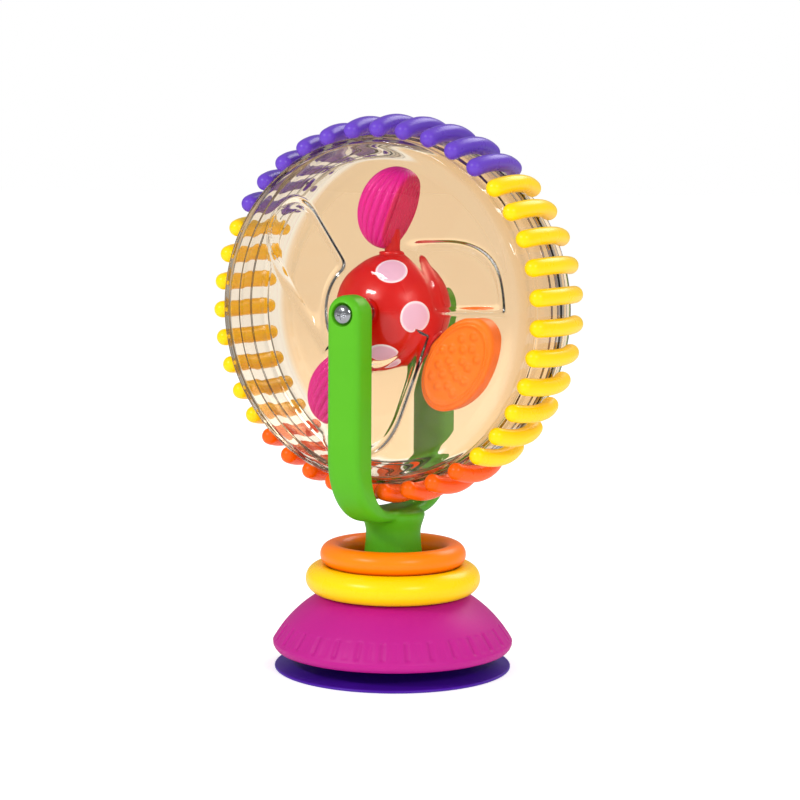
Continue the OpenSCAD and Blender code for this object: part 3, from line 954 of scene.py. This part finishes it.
def ribbed_petal(side, turn, lean):
    """A whole ribbed petal, with the flat face stored as the mask for its painted shade."""
    shape = ribbed_shape()
    name = side + "_petal"
    degrees = PETAL_ANGLES[side]
    piece = grid_object(name + "_ribbed", [(place_petal(shape, degrees, turn, lean), False, True)])
    middle = place_petal(np.array([0.0, 0, 0]), degrees, turn, lean)
    out = place_petal(np.array([1.0, 0, 0]), degrees, turn, lean) - middle
    reach = (vertices_mm(piece) - middle) @ out
    # The flat face is stored as the mask for the painted shade.
    paint(piece, "painted_shade_face", smooth_step(RIBBED_FLAT - 1.7, RIBBED_FLAT - 0.5, reach))
    finish_piece(piece, petal_magenta, name, "magenta_petal", name)


ribbed_petal("top", 4, 23)
ribbed_petal("left", 155, 0)

# %% [markdown]
# ## Bumpy petal
# The third petal is a thick oval cushion for teething. Both faces have a raised rim and scattered
# round bumps. Rows of an oval polar grid run from the middle of the front face over the rim and
# the side wall to the middle of the back, and bumps spread like the seeds of a sunflower.

# %% Bumpy petal
BUMPY_LONG = 33.0
BUMPY_WIDE = 20.4
BUMPY_THICK = 9.0
BUMPY_START = 18.7
BUMPS = 19
BUMP_R = 1.15
BUMP_RISE = 0.95
BUMP_SPREAD = 0.68
RIM_AT = 0.84
RIM_RISE = 0.8
SUNK = 0.7
GOLDEN = 137.508


def bumpy_face(x, z, share):
    """Height of one face over its plain level: rim, groove inside it, and round bumps."""
    rim = RIM_RISE * np.exp(-((share - RIM_AT) / 0.045) ** 2)
    seed = np.arange(BUMPS)
    spread = BUMP_SPREAD * np.sqrt((seed + 0.5) / BUMPS)
    angle = np.radians(GOLDEN * seed)
    bx, bz = spread * BUMPY_LONG / 2 * np.cos(angle), spread * BUMPY_WIDE / 2 * np.sin(angle)
    away = (x[..., None] - bx) ** 2 + (z[..., None] - bz) ** 2
    return rim + (BUMP_RISE * np.exp(-(away / BUMP_R ** 2) ** 1.5)).sum(axis=-1)


def bumpy_shape():
    """Oval polar grid: front face, rounded edge, side wall, rounded edge, back face."""
    turn = np.radians(np.linspace(8, 90, 10))
    share = np.concatenate([np.linspace(0, 0.92, 70), 0.92 + 0.08 * np.sin(turn)])
    level = BUMPY_THICK / 2 - SUNK - np.concatenate([np.zeros(70), 1.5 * (1 - np.cos(turn))])
    t = np.linspace(0, 2 * np.pi, 168, endpoint=False)
    x = share[:, None] * BUMPY_LONG / 2 * np.cos(t)
    z = share[:, None] * BUMPY_WIDE / 2 * np.sin(t)
    height = level[:, None] + bumpy_face(x, z, share[:, None])
    front = np.stack([x, -height, z], axis=-1)
    back = np.stack([x, height, z], axis=-1)
    return np.concatenate([front, back[::-1]]) + np.array([0, 0, BUMPY_START + BUMPY_WIDE / 2])


def petal_boss():
    """Round swelling where the petal takes its pin."""
    profile = np.array([[2.5, 18.5], [3.4, 18.5], [3.9, 18.9], [4.1, 19.8], [4.0, 22], [2.5, 22]])
    return lathe(profile, 40)


bumpy = grid_object("right_petal_bumpy", [(radial(bumpy_shape(), PETAL_ANGLES["right"]), False, True),
                                          (radial(petal_boss(), PETAL_ANGLES["right"]), True, True)])
finish_piece(bumpy, petal_orange, "right_petal", "orange_petal", "right_petal")

# %% [markdown]
# ## Pieces kept from the CAD
# The axle, its washers, the sleeve, the pins and the base's hidden screw have the right shape
# already, so they only take a material.

# %% Materials for the CAD pieces
KEPT = {
    steel: ("axle", "base_washer", "base_screw"),
    ball_red: ("front_spacer", "rear_spacer", "ball_sleeve", "top_petal_pin", "left_petal_pin",
               "right_petal_pin"),
    cup_indigo: ("base_plate",),
}
for material, nodes in KEPT.items():
    for node in nodes:
        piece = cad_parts[node]
        piece.data.materials.clear()
        piece.data.materials.append(material)
print("CAD pieces kept", sum(len(nodes) for nodes in KEPT.values()))

# %% [markdown]
# ## Studio
# A white floor and an even white surround make the plain background. The surround is dimmer for
# light that has bounced off a glossy surface, or every plastic would look milky, and the floor
# glows a little so that it stays as white as the surround. Two soft boxes in front give the long
# highlights on the rings, and a weaker, larger one behind lights the rim.

# %% Floor, light and camera


def studio_floor():
    """A wide plain floor with a faint mottling."""
    mesh = bpy.data.meshes.new("floor")
    reach = 40.0
    corners = [(-reach, -reach, 0), (reach, -reach, 0), (reach, reach, 0), (-reach, reach, 0)]
    mesh.from_pydata(corners, [], [(0, 1, 2, 3)])
    floor = bpy.data.objects.new("floor", mesh)
    bpy.context.scene.collection.objects.link(floor)
    material, tree, shader = new_material("floor_white")
    place = tree.nodes.new("ShaderNodeTexCoord").outputs["Object"]
    colour = mix_colour(tree, noise(tree, place, 8.0), (0.93, 0.93, 0.93, 1), (0.95, 0.95, 0.95, 1))
    tree.links.new(colour, shader.inputs["Base Color"])
    shader.inputs["Roughness"].default_value = 0.9
    shader.inputs["Specular IOR Level"].default_value = 0.1
    shader.inputs["Emission Color"].default_value = (1, 1, 1, 1)
    shader.inputs["Emission Strength"].default_value = 0.3
    mesh.materials.append(material)


def soft_box(name, place, size, watts):
    """A rectangular area light that faces the wheel."""
    data = bpy.data.lights.new(name, "AREA")
    data.shape = "RECTANGLE"
    data.size, data.size_y = size
    data.energy = watts
    lamp = bpy.data.objects.new(name, data)
    bpy.context.scene.collection.objects.link(lamp)
    lamp.location = place
    aim = lamp.location - Vector((0, 0, AXLE_Z * MM * 0.8))
    lamp.rotation_euler = aim.to_track_quat("Z", "Y").to_euler()


def studio_camera(turn, tilt, distance, height, lens, pan, nod, roll):
    """A camera that looks at the stem's axis at a height, from a turn and tilt in degrees."""
    a, e = math.radians(turn), math.radians(tilt)
    data = bpy.data.cameras.new("camera")
    data.lens = lens
    data.sensor_width = 36.0
    data.clip_start = 0.01
    camera = bpy.data.objects.new("camera", data)
    bpy.context.scene.collection.objects.link(camera)
    back = np.array([math.sin(a) * math.cos(e), -math.cos(a) * math.cos(e), math.sin(e)])
    right = np.array([math.cos(a), math.sin(a), 0])
    up = np.cross(back, right)
    camera.location = (np.array([0, 0, height]) + distance * back) * MM
    back = back - pan * right - nod * up
    back /= np.linalg.norm(back)
    right = np.cross([0, 0, 1.0], back)
    right /= np.linalg.norm(right)
    up = np.cross(back, right)
    c, s = math.cos(math.radians(roll)), math.sin(math.radians(roll))
    right, up = c * right + s * up, c * up - s * right
    camera.rotation_euler = Matrix(np.stack([right, up, back], axis=1).tolist()).to_euler()
    bpy.context.scene.camera = camera


studio_floor()
studio_camera(28.94, 6.13, 647.9, 83.3, 92.3, 0.0029, 0.0031, 0.37)


def white_surround(seen, lighting, mirrored):
    """A white world: full strength to the eye, less for diffuse light, least after a reflection."""
    world = bpy.data.worlds.new("surround")
    bpy.context.scene.world = world
    world.use_nodes = True
    tree = world.node_tree
    path = tree.nodes.new("ShaderNodeLightPath")
    strength = math_node(tree, "MULTIPLY_ADD", path.outputs["Is Diffuse Ray"], lighting - seen, seen)
    mirror = math_node(tree, "MINIMUM", path.outputs["Glossy Depth"], 1.0)
    strength = math_node(tree, "MULTIPLY_ADD", mirror, mirrored - seen, strength)
    tree.links.new(strength, tree.nodes["Background"].inputs["Strength"])
    tree.nodes["Background"].inputs["Color"].default_value = (1, 1, 1, 1)


white_surround(1.0, 0.80, 0.26)
soft_box("left_box", (-0.30, -0.80, 0.62), (0.30, 0.10), 3.4)
soft_box("right_box", (0.85, -0.55, 0.62), (0.30, 0.10), 2.8)
soft_box("back_box", (0.2, 0.9, 0.8), (0.6, 0.4), 3)
bpy.context.scene.view_settings.view_transform = "Standard"
